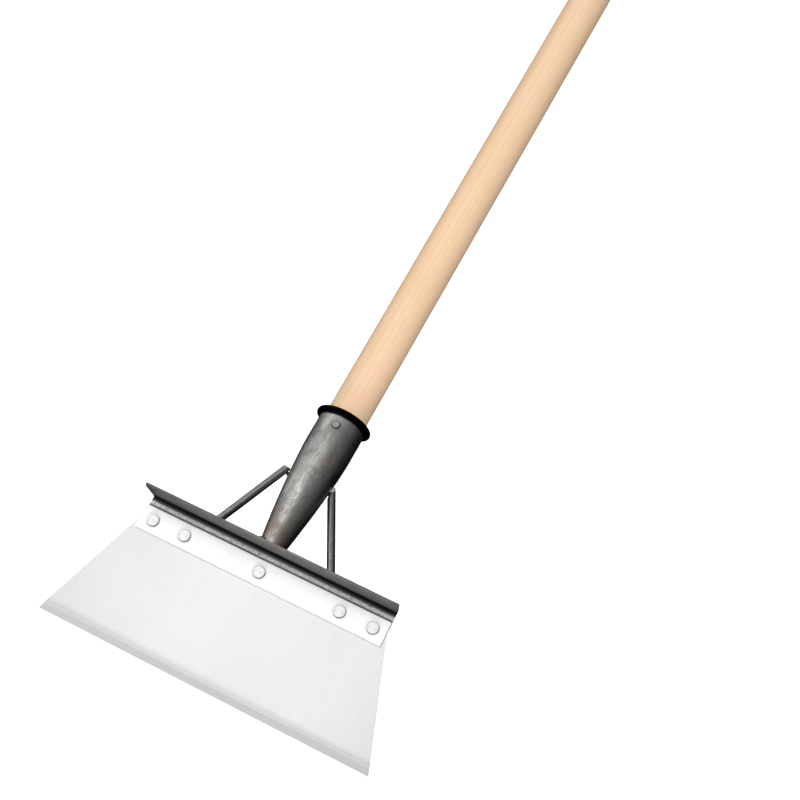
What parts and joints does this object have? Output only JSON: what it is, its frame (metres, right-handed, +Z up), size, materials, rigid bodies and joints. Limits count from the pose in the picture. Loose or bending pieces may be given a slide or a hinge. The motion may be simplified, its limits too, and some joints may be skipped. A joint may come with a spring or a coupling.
{
  "type": "floor scraper",
  "caption": "Long-handled floor scraper: round wooden handle in a tapered steel socket, welded to an angle bar that carries a wide riveted spring-steel blade.",
  "frame": {"origin": "on the flat floor that the tool lies on, in the middle of its footprint", "axes": "+Z up, the side where the rivet heads and the clamp strip are; +Y along the handle, from the cutting edge to the handle's free end; X along the cutting edge"},
  "size_m": [0.3, 1.3478, 0.0513],
  "materials": {
    "handle_wood": "turned and sanded, clear matt coat",
    "raw_steel": "heat-tinted, scratched and lightly polished along one side",
    "mill_scale_steel": "dark mill scale, worn bright on the edges",
    "spring_steel": "bright ground spring steel",
    "bright_steel": "bright zinc-plated",
    "weld_metal": "rippled weld bead, brushed"
  },
  "bodies": {
    "root": {"handle": "handle_wood", "socket": "raw_steel", "cross_rivet": "raw_steel", "angle_bar": "mill_scale_steel", "stay_left": "mill_scale_steel", "stay_right": "mill_scale_steel", "blade": "spring_steel", "clamp_strip": "bright_steel", "rivet_far_left": "bright_steel", "rivet_near_left": "bright_steel", "rivet_mid": "bright_steel", "rivet_near_right": "bright_steel", "rivet_far_right": "bright_steel", "weld_socket_foot": "weld_metal", "weld_foot_left": "weld_metal", "weld_foot_right": "weld_metal", "weld_stay_left": "weld_metal", "weld_stay_right": "weld_metal"}
  },
  "joints": []
}
